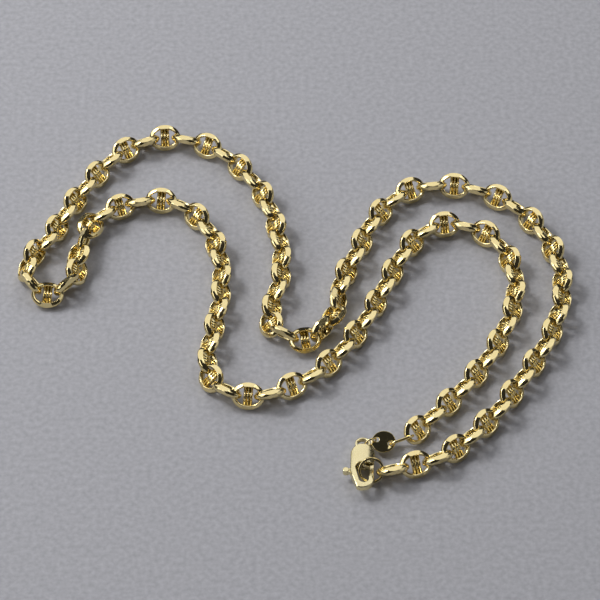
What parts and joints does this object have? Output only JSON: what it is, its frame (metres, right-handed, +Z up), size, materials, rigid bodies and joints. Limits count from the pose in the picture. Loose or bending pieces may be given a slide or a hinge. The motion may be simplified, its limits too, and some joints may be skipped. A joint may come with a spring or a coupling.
{
  "type": "mariner link chain necklace",
  "caption": "Gold mariner link necklace laid in a double curve and closed by a lobster clasp with a sprung lever, a plain band ring, an oval link and a round tag.",
  "frame": {"origin": "on the surface that the necklace lies on, below the middle of its outline", "axes": "+X to the right and +Y away from the viewer of the picture, +Z up from the surface"},
  "size_m": [0.0998, 0.0859, 0.0049],
  "materials": {
    "chain": "polished yellow gold",
    "clasp": "polished pale yellow gold",
    "rings": "polished yellow gold",
    "tag": "mirror polished yellow gold"
  },
  "bodies": {
    "necklace": {"chain_first_half": "chain", "chain_second_half": "chain", "clasp_body": "clasp", "claw_ring": "rings", "jump_ring": "rings", "tag": "tag", "oval_link": "rings"},
    "lever": {"clasp_lever": "clasp"}
  },
  "joints": [
    {"name": "lever_pivot", "type": "hinge", "parent": "necklace", "child": "lever", "pos_m": [0.01186, -0.03629, 0.00147], "axis": [-0.0043, -0.1218, -0.9925], "range_deg": [0, 16], "stiffness_Nm_per_rad": 0.007, "springref_deg": -22.92}
  ]
}
